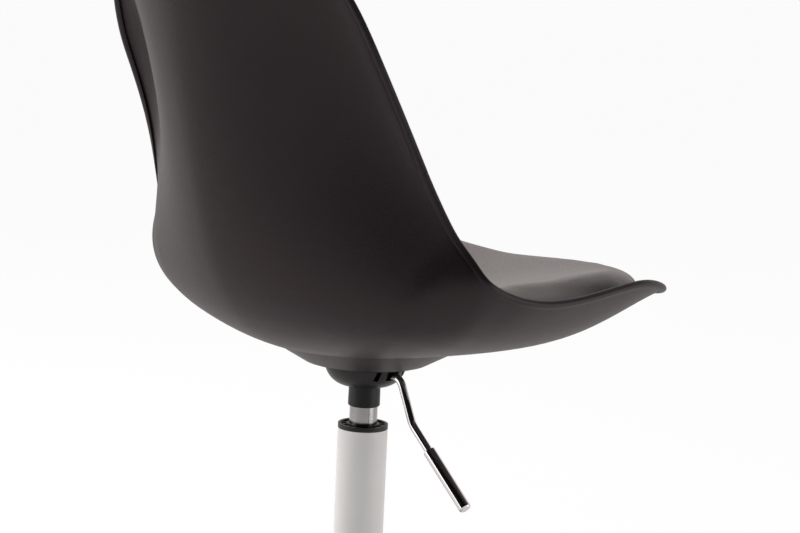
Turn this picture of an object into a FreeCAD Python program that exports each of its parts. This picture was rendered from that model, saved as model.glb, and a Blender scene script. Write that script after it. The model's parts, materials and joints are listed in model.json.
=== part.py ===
"""Swivel dining chair: moulded bucket seat with a pad, gas-lift column with a release lever, four-arm base.

Millimetres, +Z up. The origin is on the floor, on the swivel axis. The sitter faces -Y and the lever is
under the sitter's right hand, on the -X side. The seat is at its lowest height.
"""
import FreeCAD, Part
import math
import os
import Sketcher

V = FreeCAD.Vector
Z_AXIS = V(0, 0, 1)
AXIS = "axis"

# Driving dimensions

SIZES = {
    # Seat height: floor to the level that the shell's heights count from
    "seat_plane_height": 380,
    # Shell wall, rolled rim and mounting pad
    "shell_wall": 4.5,
    "rim_band": 7,
    "rim_stand": 2.6,
    "rim_edge": 3.2,
    "lip_round": 122,
    "lip_power": 2.8,
    "crest_round": 203,
    "crest_power": 2.6,
    "side_power": 1.7,
    "flare_power": 7,
    "mount_pad_diameter": 125,
    "mount_pad_drop": 9,
    "mount_pad_blend": 34,
    # Seat pad and its carrier board
    "pad_front_gap": 8,
    "pad_length": 460,
    "pad_side_gap": 9,
    "pad_round": 120,
    "pad_power": 2.5,
    "pad_thickness": 43,
    "pad_edge": 10,
    "pad_swell_power": 4,
    "pad_roll_power": 2.2,
    "pad_draw_in": 5,
    "board_thickness": 2.5,
    "board_inset": 35,
    "board_clearance": 1.5,
    "seat_clearance": 0.3,
    # Mounting plate and its bolts
    "plate_diameter": 117,
    "plate_thickness": 3,
    "plate_recess": 1.8,
    "bolt_spacing": 67,
    "bolt_diameter": 6,
    "bolt_reach": 9,
    "bolt_head_diameter": 12,
    "bolt_head_height": 2.8,
    "bolt_socket": 4.4,
    "bolt_socket_depth": 1.8,
    "bolt_clearance": 0.3,
    "washer_diameter": 14,
    "washer_thickness": 1.2,
    "insert_diameter": 9.5,
    "insert_length": 8,
    # Conical socket under the plate
    "socket_drop": 55.5,
    "socket_diameter": 32,
    "socket_top_diameter": 31,
    "socket_round": 2,
    "window_width": 11,
    "window_margin": 2.5,
    # Slotted cover round the socket
    "cover_diameter": 81.5,
    "cover_depth": 34.5,
    "cover_round": 23.5,
    "cover_wall": 2,
    "cover_collar_gap": 0.8,
    "slot_width": 15,
    "vent_width": 5,
    "slot_depth": 24,
    "slot_angle": 26,
    "vent_slant": 18,
    "slot_inner_diameter": 47,
    "cover_boss_diameter": 8,
    "cover_boss_offset": 28,
    "cover_boss_rise": 5.6,
    "cover_screw_diameter": 3,
    "cover_screw_head": 5.6,
    "cover_screw_length": 20,
    # Release lever
    "lever_drop": 19,
    "lever_diameter": 8,
    "lever_overrun": 3,
    "lever_knee_out": 49.5,
    "lever_elbow_out": 69.3,
    "lever_elbow_drop": 62.1,
    "lever_tip_out": 146,
    "lever_tip_drop": 130,
    "lever_knee_radius": 14,
    "lever_elbow_radius": 22,
    "pivot_out": 24,
    "pivot_pin_diameter": 5,
    "pivot_hub_diameter": 11,
    "lug_gap": 11,
    "lug_thickness": 3,
    "lug_length": 12,
    "handle_diameter": 12.4,
    "handle_length": 71,
    "handle_chamfer": 1.3,
    "handle_bore": 40,
    # Gas spring
    "cylinder_drop": 28,
    "cylinder_diameter": 28,
    "cylinder_wall": 1.5,
    "neck_diameter": 26.8,
    "cylinder_cap": 4,
    "cylinder_lip": 3,
    "cylinder_exposed": 18,
    "valve_body_length": 45,
    "valve_pin_diameter": 8,
    "valve_pin_length": 30,
    "valve_travel": 3,
    "valve_gap": 0.3,
    "rod_diameter": 10,
    "rod_spigot_diameter": 8,
    "piston_length": 18,
    "piston_headroom": 6,
    "piston_clearance": 0.3,
    "seal_width": 3,
    "seal_depth": 2,
    "lift_stroke": 100,
    "stroke_margin": 1,
    "running_clearance": 0.05,
    # Column tube, bush and swivel bearing
    "tube_diameter": 50,
    "tube_wall": 1.5,
    "tube_seat": 12,
    "tube_foot_diameter": 48.4,
    "tube_floor": 2.5,
    "tube_floor_opening": 30,
    "bush_flange": 4.5,
    "bush_length": 80,
    "bush_rim": 3,
    "bush_recess": 1.6,
    "bush_collar": 2.5,
    "bush_rib_count": 12,
    "bush_rib": 1.6,
    "floor_plate": 4,
    "race_diameter": 36,
    "race_thickness": 2.5,
    "ball_diameter": 5,
    "ball_circle": 24,
    "ball_count": 10,
    "cage_thickness": 2.4,
    "bump_stop_diameter": 26,
    "bump_stop_height": 12,
    "clip_washer_diameter": 18,
    "clip_washer": 1.5,
    "clip_diameter": 14,
    "clip_thickness": 1.2,
    "clip_groove": 1,
    "rod_tail": 3,
    # Four-arm base and floor glides
    "hub_top": 112,
    "hub_bottom": 50,
    "hub_diameter": 68,
    "hub_top_diameter": 62,
    "arm_count": 4,
    "arm_root": 29,
    "arm_root_width": 50,
    "arm_root_top": 106,
    "arm_root_bottom": 56,
    "arm_middle": 150,
    "arm_middle_width": 39,
    "arm_middle_top": 82,
    "arm_middle_bottom": 36,
    "arm_tip_width": 28,
    "arm_tip_top": 36,
    "arm_draft": 4,
    "arm_wall": 4,
    "arm_soften": 5,
    "arm_rib": 3,
    "arm_rib_lift": 7,
    "glide_reach": 302,
    "foot_diameter": 36,
    "foot_top": 46,
    "foot_round": 5,
    "glide_height": 14,
    "glide_diameter": 34,
    "glide_chamfer": 2,
    "stud_diameter": 8,
    "stud_length": 24,
    "stud_seat": 6,
}

# Shell stations from the front lip to the crest of the back: the centre line's distance forward of the
# swivel axis and height over the seat level, the half width, the rise of the sides, the rim's flare

STATIONS = {
    "forward": (249, 222, 122, -17, -163, -218, -247.5, -302),
    "height": (50, 45, 11, -6, 17, 126, 273, 447),
    "half_width": (234, 236, 241, 246, 232, 205, 175.5, 175),
    "side_rise": (29, 56, 87, 80, 113, 120, 80, 30),
    "side_flare": (0.2, -0.4, -0.9, -0.25, -0.6, 0, 0.85, 1.1),
}

# Levels and radii worked out from the driving dimensions

PLACES = {
    "mount_level": "size.seat_plane_height - size.mount_pad_drop",
    "plate_top": "mount_level + size.plate_recess",
    "plate_bottom": "plate_top - size.plate_thickness",
    "plate_radius": "size.plate_diameter / 2",
    "recess_radius": "plate_radius + size.seat_clearance",
    "bolt_offset": "size.bolt_spacing / 2",
    "bolt_radius": "size.bolt_diameter / 2",
    "bolt_hole_radius": "bolt_radius + size.bolt_clearance",
    "bolt_tip": "plate_top + size.bolt_reach",
    "bolt_head_radius": "size.bolt_head_diameter / 2",
    "washer_top": "plate_top + size.washer_thickness",
    "washer_radius": "size.washer_diameter / 2",
    "insert_radius": "size.insert_diameter / 2",
    "socket_bottom": "size.seat_plane_height - size.socket_drop",
    "socket_radius": "size.socket_diameter / 2",
    "socket_top_radius": "size.socket_top_diameter / 2",
    "cover_radius": "size.cover_diameter / 2",
    "cover_inner_radius": "cover_radius - size.cover_wall",
    "cover_hole_radius": "socket_radius + size.cover_collar_gap",
    "cover_bottom": "size.seat_plane_height - size.cover_depth",
    "cover_floor": "cover_bottom + size.cover_wall",
    "cover_boss_bottom": "cover_bottom + size.cover_boss_rise",
    "screw_seat": "size.seat_plane_height - size.cover_screw_length",
    "lever_level": "size.seat_plane_height - size.lever_drop",
    "lever_radius": "size.lever_diameter / 2",
    "lug_half_gap": "size.lug_gap / 2",
    "lug_bottom": "lever_level - size.lug_length / 2",
    "pin_radius": "size.pivot_pin_diameter / 2",
    "pin_half": "lug_half_gap + size.lug_thickness",
    "handle_radius": "size.handle_diameter / 2",
    "handle_edge": "handle_radius - size.handle_chamfer",
    "handle_shoulder": "size.handle_length - size.handle_chamfer",
    "cylinder_top": "size.seat_plane_height - size.cylinder_drop",
    "cylinder_radius": "size.cylinder_diameter / 2",
    "cylinder_bore": "cylinder_radius - size.cylinder_wall",
    "neck_radius": "size.neck_diameter / 2",
    "cap_bottom": "cylinder_top - size.cylinder_cap",
    "valve_pin_radius": "size.valve_pin_diameter / 2",
    "valve_hole": "valve_pin_radius + size.running_clearance",
    "valve_pin_top": "lever_level - lever_radius - size.valve_gap",
    "valve_pin_bottom": "valve_pin_top - size.valve_pin_length",
    "valve_body_bottom": "cap_bottom - size.valve_body_length",
    "valve_floor": "valve_pin_bottom - size.valve_travel - size.valve_gap",
    "piston_top": "valve_body_bottom - size.piston_headroom",
    "piston_bottom": "piston_top - size.piston_length",
    "piston_radius": "cylinder_bore - size.piston_clearance",
    "seal_radius": "cylinder_bore - size.running_clearance",
    "seal_bore": "piston_radius - size.seal_depth",
    "seal_bottom": "(piston_top + piston_bottom - size.seal_width) / 2",
    "seal_top": "seal_bottom + size.seal_width",
    "rod_radius": "size.rod_diameter / 2",
    "rod_hole": "rod_radius + size.running_clearance",
    "spigot_radius": "size.rod_spigot_diameter / 2",
    "spigot_hole": "spigot_radius + size.running_clearance",
    "guide_top": "piston_bottom - size.lift_stroke - size.stroke_margin",
    "bush_top": "socket_bottom - size.cylinder_exposed",
    "tube_top": "bush_top - size.bush_flange",
    "tube_radius": "size.tube_diameter / 2",
    "tube_bore": "tube_radius - size.tube_wall",
    "tube_bottom": "size.hub_bottom + size.tube_seat",
    "tube_foot_radius": "size.tube_foot_diameter / 2",
    "tube_foot_bore": "tube_foot_radius - size.tube_wall",
    "tube_opening": "size.tube_floor_opening / 2",
    "tube_floor_top": "tube_bottom + size.tube_floor",
    "bush_bottom": "tube_top - size.bush_length",
    "bush_bore": "cylinder_radius + size.running_clearance",
    "bush_rim_radius": "tube_radius - size.bush_rim",
    "bush_collar_radius": "bush_bore + size.bush_collar",
    "bush_recess_floor": "bush_top - size.bush_recess",
    "bush_rib_start": "bush_bore + size.bush_collar / 2",
    "bush_rib_low": "-size.bush_rib / 2",
    "bush_rib_high": "size.bush_rib / 2",
    "floor_plate_top": "tube_floor_top + size.floor_plate",
    "race_radius": "size.race_diameter / 2",
    "lower_race_top": "floor_plate_top + size.race_thickness",
    "ball_radius": "size.ball_diameter / 2",
    "ball_level": "lower_race_top + ball_radius",
    "cage_bottom": "ball_level - size.cage_thickness / 2",
    "cage_top": "ball_level + size.cage_thickness / 2",
    "upper_race_bottom": "lower_race_top + size.ball_diameter + size.running_clearance",
    "upper_race_top": "upper_race_bottom + size.race_thickness",
    "bump_stop_radius": "size.bump_stop_diameter / 2",
    "bump_stop_top": "upper_race_top + size.bump_stop_height",
    "cylinder_bottom": "bump_stop_top + size.seat_clearance",
    "cylinder_lip_top": "cylinder_bottom + size.cylinder_lip",
    "clip_washer_top": "tube_floor_top - size.running_clearance",
    "clip_washer_bottom": "clip_washer_top - size.clip_washer",
    "clip_washer_radius": "size.clip_washer_diameter / 2",
    "clip_bottom": "clip_washer_bottom - size.clip_thickness",
    "clip_radius": "size.clip_diameter / 2",
    "clip_bore": "spigot_radius - size.clip_groove",
    "rod_bottom": "clip_bottom - size.rod_tail",
    "hub_radius": "size.hub_diameter / 2",
    "hub_top_radius": "size.hub_top_diameter / 2",
    "hub_opening": "tube_foot_radius - size.tube_wall",
    "foot_radius": "size.foot_diameter / 2",
    "glide_radius": "size.glide_diameter / 2",
    "glide_face_radius": "glide_radius - size.glide_chamfer",
    "glide_shoulder": "size.glide_height - size.glide_chamfer",
    "stud_radius": "size.stud_diameter / 2",
    "stud_top": "size.stud_seat + size.stud_length",
}

PLACES["arm_tip_bottom"] = "size.glide_height"
for spot in ("root", "middle", "tip"):
    PLACES.update({
        f"arm_{spot}_foot": f"size.arm_{spot}_width / 2",
        f"arm_{spot}_crown": f"arm_{spot}_foot - size.arm_draft",
        f"arm_{spot}_flat": f"arm_{spot}_crown - size.arm_soften",
        f"arm_{spot}_soft": f"size.arm_{spot}_top - size.arm_soften",
        f"hollow_{spot}_foot": f"arm_{spot}_foot - size.arm_wall",
        f"hollow_{spot}_crown": f"arm_{spot}_crown - size.arm_wall",
        f"hollow_{spot}_flat": f"arm_{spot}_flat - size.arm_wall / 2",
        f"hollow_{spot}_soft": f"arm_{spot}_soft - size.arm_wall / 2",
        f"hollow_{spot}_top": f"size.arm_{spot}_top - size.arm_wall",
        f"rib_{spot}_top": f"size.arm_{spot}_top - size.arm_wall / 2",
    })
for spot, bottom in (("root", "size.arm_root_bottom"), ("middle", "size.arm_middle_bottom"),
                     ("tip", "size.glide_height")):
    PLACES[f"hollow_{spot}_bottom"] = f"{bottom} - size.arm_wall"
    PLACES[f"rib_{spot}_bottom"] = f"{bottom} + size.arm_rib_lift"

doc = FreeCAD.newDocument("SwivelDiningChair")
size = doc.addObject("Spreadsheet::Sheet", "size")
place = doc.addObject("Spreadsheet::Sheet", "place")


def fill(sheet, cells):
    """Write names and contents into a sheet and give each cell its alias."""
    for row, (alias, content) in enumerate(cells.items(), start=1):
        sheet.set(f"A{row}", alias)
        sheet.set(f"B{row}", content)
        sheet.setAlias(f"B{row}", alias)


for kind, values in STATIONS.items():
    SIZES.update({f"{kind}_{number}": value for number, value in enumerate(values, start=1)})
fill(size, {alias: str(value) for alias, value in SIZES.items()})
doc.recompute()
fill(place, {alias: "=" + formula for alias, formula in PLACES.items()})
doc.recompute()

nodes = []


def cell(name):
    """The expression that reads a named cell."""
    return f"place.{name}" if name in PLACES else f"size.{name}"


def read(name):
    """The value of a named cell."""
    return getattr(place if name in PLACES else size, name)


def keep(item, label):
    """Name a finished sub-part."""
    item.Label = label
    nodes.append(item)
    return item


# Sketches and features

def origin_feature(body, role):
    return next(item for item in body.Origin.OriginFeatures if item.Role == role)


def new_sketch(body, role, name, offset=None):
    """A sketch on one of its body's origin planes, moved along the plane's normal to a named cell."""
    sketch = body.newObject("Sketcher::SketchObject", name)
    sketch.AttachmentSupport = [(origin_feature(body, role), "")]
    sketch.MapMode = "FlatFace"
    if offset:
        sketch.setExpression("AttachmentOffset.Base.z", offset)
    return sketch


def bind(sketch, kind, geometry, point, name):
    """Hold one coordinate of a point at a named cell."""
    index = sketch.addConstraint(Sketcher.Constraint(kind, -1, 1, geometry, point, float(read(name))))
    sketch.setExpression(f"Constraints[{index}]", cell(name))


def outline(sketch, corners):
    """A closed polygon with corners at (across, up) pairs of named cells, or AXIS for one on an axis."""
    spots = [V(*(0 if name == AXIS else read(name) for name in corner), 0) for corner in corners]
    count = len(corners)
    for number in range(count):
        sketch.addGeometry(Part.LineSegment(spots[number], spots[(number + 1) % count]))
    for number, corner in enumerate(corners):
        sketch.addConstraint(Sketcher.Constraint("Coincident", number, 2, (number + 1) % count, 1))
        for kind, name, axis in zip(("DistanceX", "DistanceY"), corner, (-2, -1)):
            if name == AXIS:
                sketch.addConstraint(Sketcher.Constraint("PointOnObject", number, 1, axis))
            else:
                bind(sketch, kind, number, 1, name)


def circle(sketch, radius, across=None, up=None):
    """A circle with a named radius, at the sketch's origin or at named coordinates."""
    centre = V(read(across) if across else 0, read(up) if up else 0, 0)
    index = sketch.addGeometry(Part.Circle(centre, Z_AXIS, read(radius)))
    held = sketch.addConstraint(Sketcher.Constraint("Radius", index, float(read(radius))))
    sketch.setExpression(f"Constraints[{held}]", cell(radius))
    for kind, name, axis in (("DistanceX", across, -2), ("DistanceY", up, -1)):
        if name:
            bind(sketch, kind, index, 3, name)
        else:
            sketch.addConstraint(Sketcher.Constraint("PointOnObject", index, 3, axis))


def revolve(body, corners, name):
    """Turn a polygon about the vertical axis."""
    sketch = new_sketch(body, "XZ_Plane", name + "_profile")
    outline(sketch, corners)
    feature = body.newObject("PartDesign::Revolution", name)
    feature.Profile = (sketch, [""])
    feature.ReferenceAxis = (sketch, ["V_Axis"])
    feature.Angle = 360
    sketch.Visibility = False
    return feature


def new_body(label):
    return doc.addObject("PartDesign::Body", label)


def turned(label, corners):
    """A turned sub-part."""
    body = new_body(label)
    revolve(body, corners, label + "_turn")
    return keep(body, label)


def pad(body, sketch, height, name, both_ways=False):
    """Extrude a sketch by an expression."""
    feature = body.newObject("PartDesign::Pad", name)
    feature.Profile = (sketch, [""])
    feature.setExpression("Length", height)
    if both_ways:
        feature.SideType = "Symmetric"
    sketch.Visibility = False
    return feature


def round_edges(body, feature, radius, wanted, name):
    """Fillet the edges of a feature that a test picks."""
    doc.recompute()
    picked = [f"Edge{n}" for n, edge in enumerate(feature.Shape.Edges, start=1) if wanted(edge)]
    fillet = body.newObject("PartDesign::Fillet", name)
    fillet.Base = (feature, picked)
    fillet.setExpression("Radius", radius)
    return fillet


def ring_edge(radius, level):
    """A test for a full circle of a given radius at a given height."""
    def wanted(edge):
        curve = edge.Curve
        if not isinstance(curve, Part.Circle):
            return False
        return abs(curve.Radius - radius) < 0.01 and abs(curve.Center.z - level) < 0.01
    return wanted


def shaped(label, shape):
    """A sub-part whose shape comes from a formula."""
    item = doc.addObject("Part::Feature", label)
    item.Shape = shape
    return item


def cylinder(label, radius, height, x, y, z):
    """A vertical cylinder bound to expressions."""
    item = doc.addObject("Part::Cylinder", label)
    for target, expression in (("Radius", radius), ("Height", height), ("Placement.Base.x", x),
                               ("Placement.Base.y", y), ("Placement.Base.z", z)):
        item.setExpression(target, expression)
    return item


def cone(label, low_radius, high_radius, height, x, y, z):
    """An upright cone's lower part bound to expressions."""
    item = doc.addObject("Part::Cone", label)
    for target, expression in (("Radius1", low_radius), ("Radius2", high_radius), ("Height", height),
                               ("Placement.Base.x", x), ("Placement.Base.y", y), ("Placement.Base.z", z)):
        item.setExpression(target, expression)
    return item


def box(label, length, width, height, x, y, z):
    """A box bound to expressions."""
    item = doc.addObject("Part::Box", label)
    for target, expression in (("Length", length), ("Width", width), ("Height", height),
                               ("Placement.Base.x", x), ("Placement.Base.y", y), ("Placement.Base.z", z)):
        item.setExpression(target, expression)
    return item


def cut(label, base, tools):
    """A body less its cut-outs."""
    item = doc.addObject("Part::Cut", label)
    item.Base = base
    if len(tools) == 1:
        item.Tool = tools[0]
    else:
        group = doc.addObject("Part::MultiFuse", label + "_tools")
        group.Shapes = tools
        item.Tool = group
    return item


def grouped(label, items):
    """Identical small pieces that share one node."""
    group = doc.addObject("Part::Compound", label)
    group.Links = items
    return keep(group, label)


# Seat shell: a surface over two numbers, the place along the centre line from lip to crest and the share of
# the half width across

def station_curve(first, second, third):
    """A smooth curve whose control points are three station values each."""
    count = len(STATIONS["forward"])
    degree = 3
    spans = count - degree
    poles = [V(*(kind(number) for kind in (first, second, third))) for number in range(1, count + 1)]
    mults = [degree + 1] + [1] * (spans - 1) + [degree + 1]
    knots = [number / spans for number in range(spans + 1)]
    curve = Part.BSplineCurve()
    curve.buildFromPolesMultsKnots(poles, mults, knots, False, degree)
    return curve


def station(kind):
    return lambda number: read(f"{kind}_{number}")


spine = station_curve(lambda number: 0, lambda number: -read(f"forward_{number}"),
                      lambda number: size.seat_plane_height + read(f"height_{number}"))
section = station_curve(station("half_width"), station("side_rise"), station("side_flare"))

SPINE_STEPS = 400


def spine_lengths():
    """Running length of the centre line at even steps."""
    spots = [spine.value(step / SPINE_STEPS) for step in range(SPINE_STEPS + 1)]
    lengths = [0.0]
    for first, second in zip(spots, spots[1:]):
        lengths.append(lengths[-1] + first.distanceToPoint(second))
    return lengths


LENGTHS = spine_lengths()


def along_at(distance):
    """Place along the centre line at a distance from the lip."""
    step = next(number for number in range(1, SPINE_STEPS + 1) if LENGTHS[number] >= distance)
    share = (distance - LENGTHS[step - 1]) / (LENGTHS[step] - LENGTHS[step - 1])
    return (step - 1 + share) / SPINE_STEPS


# Share of the centre line that is surely seat and not back, and halvings that settle a place on it
SEAT_SHARE = 0.6
HALVINGS = 40


def along_at_forward(forward):
    """Place along the seat's centre line at a distance forward of the swivel axis."""
    low, high = 0.0, along_at(LENGTHS[-1] * SEAT_SHARE)
    for _ in range(HALVINGS):
        middle = (low + high) / 2
        if -spine.value(middle).y > forward:
            low = middle
        else:
            high = middle
    return low


def skin(along, across):
    """A point of the shell's outer surface."""
    along = min(max(along, 0.0), 1.0)
    centre, heading = spine.getD1(along)
    heading.normalize()
    half, rise, flare = section.value(along)
    share = abs(across)
    lift = rise * ((1 + flare) * share ** size.side_power - flare * share ** size.flare_power)
    return centre + V(half * across, 0, 0) + V(0, -heading.z, heading.y) * lift


STEP = 0.002


def slopes(along, across):
    """How the surface runs along and across, and its normal towards the sitter."""
    low, high = max(along - STEP, 0.0), min(along + STEP, 1.0)
    run = (skin(high, across) - skin(low, across)) * (1 / (high - low))
    reach = (skin(along, across + STEP) - skin(along, across - STEP)) * (1 / (2 * STEP))
    normal = reach.cross(run)
    normal.normalize()
    return run, reach, normal


def shifted(spot, move):
    """Domain point reached from another by a small move in space."""
    run, reach, normal = slopes(*spot)
    first, mixed, second = run.dot(run), run.dot(reach), reach.dot(reach)
    along, across = move.dot(run), move.dot(reach)
    scale = first * second - mixed * mixed
    return (spot[0] + (along * second - across * mixed) / scale,
            spot[1] + (across * first - along * mixed) / scale)


def raised(spot, depth):
    """A point at a depth inside the outer surface."""
    return skin(*spot) + slopes(*spot)[2] * depth


END_STEPS = 60
SIDE_STEPS = 120
OUTLINE_POINTS = 84


def rounded_domain(start, front_round, front_power, end, back_round, back_power):
    """Closed outline in the surface's two numbers, from the front centre round the sitter's left side.

    Both ends are half superellipses and the sides run at the full half width between them.
    """
    half = []
    for number in range(END_STEPS):
        turn = math.pi / 2 * number / END_STEPS
        half.append((start + front_round * (1 - math.cos(turn) ** (2 / front_power)),
                     math.sin(turn) ** (2 / front_power)))
    low, high = start + front_round, end - back_round
    half += [(low + (high - low) * number / SIDE_STEPS, 1.0) for number in range(SIDE_STEPS + 1)]
    for number in range(1, END_STEPS + 1):
        turn = math.pi / 2 * (1 - number / END_STEPS)
        half.append((end - back_round * (1 - math.cos(turn) ** (2 / back_power)),
                     math.sin(turn) ** (2 / back_power)))
    return spaced(half)


def spaced(half):
    """Evenly spaced spots round a whole outline, from one half of it."""
    spots = [skin(*spot) for spot in half]
    lengths = [0.0]
    for first, second in zip(spots, spots[1:]):
        lengths.append(lengths[-1] + first.distanceToPoint(second))
    steps = int(OUTLINE_POINTS) // 2
    even = [half[0]]
    for number in range(1, steps):
        wanted = lengths[-1] * number / steps
        after = next(index for index, length in enumerate(lengths) if length >= wanted)
        share = (wanted - lengths[after - 1]) / (lengths[after] - lengths[after - 1])
        even += blend([half[after - 1]], [half[after]], share)
    even.append(half[-1])
    return even + [(along, -across) for along, across in even[-2:0:-1]]


def inset(outline_spots, distance):
    """The outline moved inwards along the surface."""
    count = len(outline_spots)
    moved = []
    for number, spot in enumerate(outline_spots):
        before, after = outline_spots[number - 1], outline_spots[(number + 1) % count]
        tangent = skin(*after) - skin(*before)
        inward = slopes(*spot)[2].cross(tangent)
        inward.normalize()
        moved.append(shifted(spot, inward * distance))
    return moved


def blend(inner, outer, share):
    """Spots between two outlines."""
    return [(a[0] + (b[0] - a[0]) * share, a[1] + (b[1] - a[1]) * share) for a, b in zip(inner, outer)]


def ring_curve(points):
    """A smooth closed curve through points, which all rings pass at the same steps."""
    count = len(points)
    curve = Part.BSplineCurve()
    steps = [step / count for step in range(count + 1)]
    curve.interpolate(Points=points, PeriodicFlag=True, Parameters=steps)
    return curve


def cap(points):
    """A flat face inside a ring that lies at one level."""
    return Part.Face(Part.Wire([ring_curve(points).toShape()]))


def loft(rings):
    """A smooth face through closed rings."""
    curves = [ring_curve(points) for points in rings]
    steps = [0.0]
    for inner, outer in zip(rings, rings[1:]):
        gaps = [first.distanceToPoint(second) for first, second in zip(inner, outer)]
        steps.append(steps[-1] + sum(gaps) / len(gaps))
    columns = []
    for poles in zip(*(curve.getPoles() for curve in curves)):
        column = Part.BSplineCurve()
        column.interpolate(Points=list(poles), Parameters=steps)
        columns.append(column)
    ring, column = curves[0], columns[0]
    surface = Part.BSplineSurface()
    surface.buildFromPolesMultsKnots([item.getPoles() for item in columns], ring.getMultiplicities(),
                                     column.getMultiplicities(), ring.getKnots(), column.getKnots(),
                                     True, False, ring.Degree, column.Degree)
    return surface.toShape()


def closed_solid(faces):
    """One solid from faces that meet edge to edge."""
    skin_shell = Part.Compound(faces)
    skin_shell.sewShape()
    solid = Part.Solid(skin_shell.Shells[0])
    solid.fix(0.001, 0.001, 0.001)
    if solid.Volume < 0:
        solid.reverse()
    return solid


RIM = rounded_domain(0.0, along_at(size.lip_round), size.lip_power,
                     1.0, 1.0 - along_at(LENGTHS[-1] - size.crest_round), size.crest_power)
CENTRE = along_at_forward(0.0)

# Weight of the along number against the across number when the rim's points are matched to the mounting pad
SPREAD = 2.2


def mount_spots(radius, level=None):
    """Circle round the swivel axis, matched to the rim's points: spots, or points at one level."""
    found = []
    for along, across in RIM:
        turn = math.atan2(across, (CENTRE - along) * SPREAD)
        left, forward = radius * math.sin(turn), radius * math.cos(turn)
        if level is None:
            along = along_at_forward(forward)
            found.append((along, left / section.value(along).x))
        else:
            found.append(V(left, -forward, level))
    return found


def flat_ring(spots, depth):
    """A small ring at one level, over which a flat face closes the surface."""
    points = [raised(spot, depth) for spot in spots]
    level = sum(point.z for point in points) / len(points)
    return [V(point.x, point.y, level) for point in points]


# Rings of the skins, as shares of the way to the rim, the turns of the rolled rim's rounding, and how much
# of the roll's stand its lower edge has
SKIN_SHARES = (0.15, 0.32, 0.5, 0.66, 0.79, 0.89, 0.96)
FIRST_INNER_SHARE = 0.07
CORE_OF_MOUNT = 0.2
BEAD_TURNS = (0, 45, 90, 135, 180)
LEDGE_STAND = 0.8


def make_seat_shell():
    """Moulded shell: outer skin with its mounting pad, rolled rim, inner skin."""
    mount_radius = size.mount_pad_diameter / 2
    mount_edge = mount_spots(mount_radius, place.mount_level)
    mount_foot = mount_spots(mount_radius + size.mount_pad_blend)
    ledge = inset(RIM, size.rim_band)
    inner_edge = inset(RIM, size.rim_edge)
    outer_rings = [mount_foot] + [blend(mount_foot, ledge, share) for share in SKIN_SHARES] + [ledge]
    outer = [[skin(*spot) for spot in ring] for ring in outer_rings]
    ledge_top = [raised(spot, -size.rim_stand * LEDGE_STAND) for spot in ledge]
    bead = [ledge_top]
    middle = (size.shell_wall - size.rim_stand) / 2
    half = (size.shell_wall + size.rim_stand) / 2
    for degrees in BEAD_TURNS:
        turn = math.radians(degrees)
        ring = inset(RIM, size.rim_edge * (1 - math.sin(turn)))
        bead.append([raised(spot, middle - half * math.cos(turn)) for spot in ring])
    core = mount_spots(mount_radius * CORE_OF_MOUNT)
    inner_rings = [blend(core, inner_edge, share) for share in (FIRST_INNER_SHARE,) + SKIN_SHARES]
    core_ring = flat_ring(core, size.shell_wall)
    inner = [core_ring] + [[raised(spot, size.shell_wall) for spot in ring] for ring in inner_rings]
    inner.append(bead[-1])
    faces = [cap(mount_edge), loft([mount_edge, outer[0]]), loft(outer), loft([outer[-1], ledge_top])]
    return closed_solid(faces + [loft(bead), loft(inner), cap(core_ring)])


def bolt_places():
    """The four bolts' numbers and their x and y expressions."""
    signs = [(x, y) for x in (-1, 1) for y in (-1, 1)]
    return [(number, (f"{x} * place.bolt_offset", f"{y} * place.bolt_offset"))
            for number, (x, y) in enumerate(signs, start=1)]


def build_seat_shell():
    """The shell with a pocket for the mounting plate, the washers and the threaded inserts."""
    blank = shaped("seat_shell_blank", make_seat_shell())
    pockets = [cylinder("plate_pocket", cell("recess_radius"), cell("plate_recess"), "0", "0",
                        cell("mount_level"))]
    for number, spot in bolt_places():
        pockets.append(cylinder(f"washer_pocket_{number}", cell("washer_radius"), cell("washer_thickness"),
                                *spot, cell("plate_top")))
        pockets.append(cylinder(f"insert_hole_{number}", cell("insert_radius"), cell("insert_length"), *spot,
                                cell("washer_top")))
    keep(cut("seat_shell", blank, pockets), "seat_shell")


# Seat pad and board: rings over the shell's inside, each a share of the pad's outline at a depth

PAD = rounded_domain(along_at(size.pad_front_gap), along_at(size.lip_round), size.pad_power,
                     along_at(size.pad_front_gap + size.pad_length),
                     along_at(size.pad_front_gap + size.pad_length)
                     - along_at(size.pad_front_gap + size.pad_length - size.pad_round), size.pad_power)
CORE_SHARE = 0.07
FACE_SHARES = (0.25, 0.45, 0.65, 0.8, 0.9)
EDGE_SHARES = (0.96, 0.99, 1.0)

# Height of the pad's drawn-in foot, as a share of its edge's height
FOOT_HEIGHT = 0.24


def pad_outline(gap):
    """The pad's outline, a gap clear of the rim at its sides."""
    return [(along, across * (1 - gap / section.value(along).x)) for along, across in PAD]


def cushion(edge, base, rise):
    """A closed solid between a base depth and a top whose depth follows the share of the way to the edge.

    The rise gives (share, height) pairs from the middle of the top over the edge to the foot of the side.
    """
    core = [(CENTRE, 0.0)] * len(edge)

    def ring(share, depth):
        return [raised(spot, depth) for spot in blend(core, edge, share)]

    floor_core = flat_ring(blend(core, edge, CORE_SHARE), base)
    top_core = flat_ring(blend(core, edge, CORE_SHARE), base + rise[0][1])
    foot_share = rise[-1][0]
    floor = [floor_core] + [ring(share * foot_share, base) for share in FACE_SHARES + (1.0,)]
    crown = [top_core] + [ring(share, base + height) for share, height in rise[1:]]
    side = [crown[-1], floor[-1]]
    return closed_solid([cap(floor_core), loft(floor), loft(crown), loft(side), cap(top_core)])


def pad_height(share):
    """The pad's thickness at a share of the way to its edge: flat in the middle, rolled over at the edge."""
    roll = (1 - share ** size.pad_swell_power) ** (1 / size.pad_roll_power)
    return size.pad_edge + (size.pad_thickness - size.pad_edge) * roll


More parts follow.
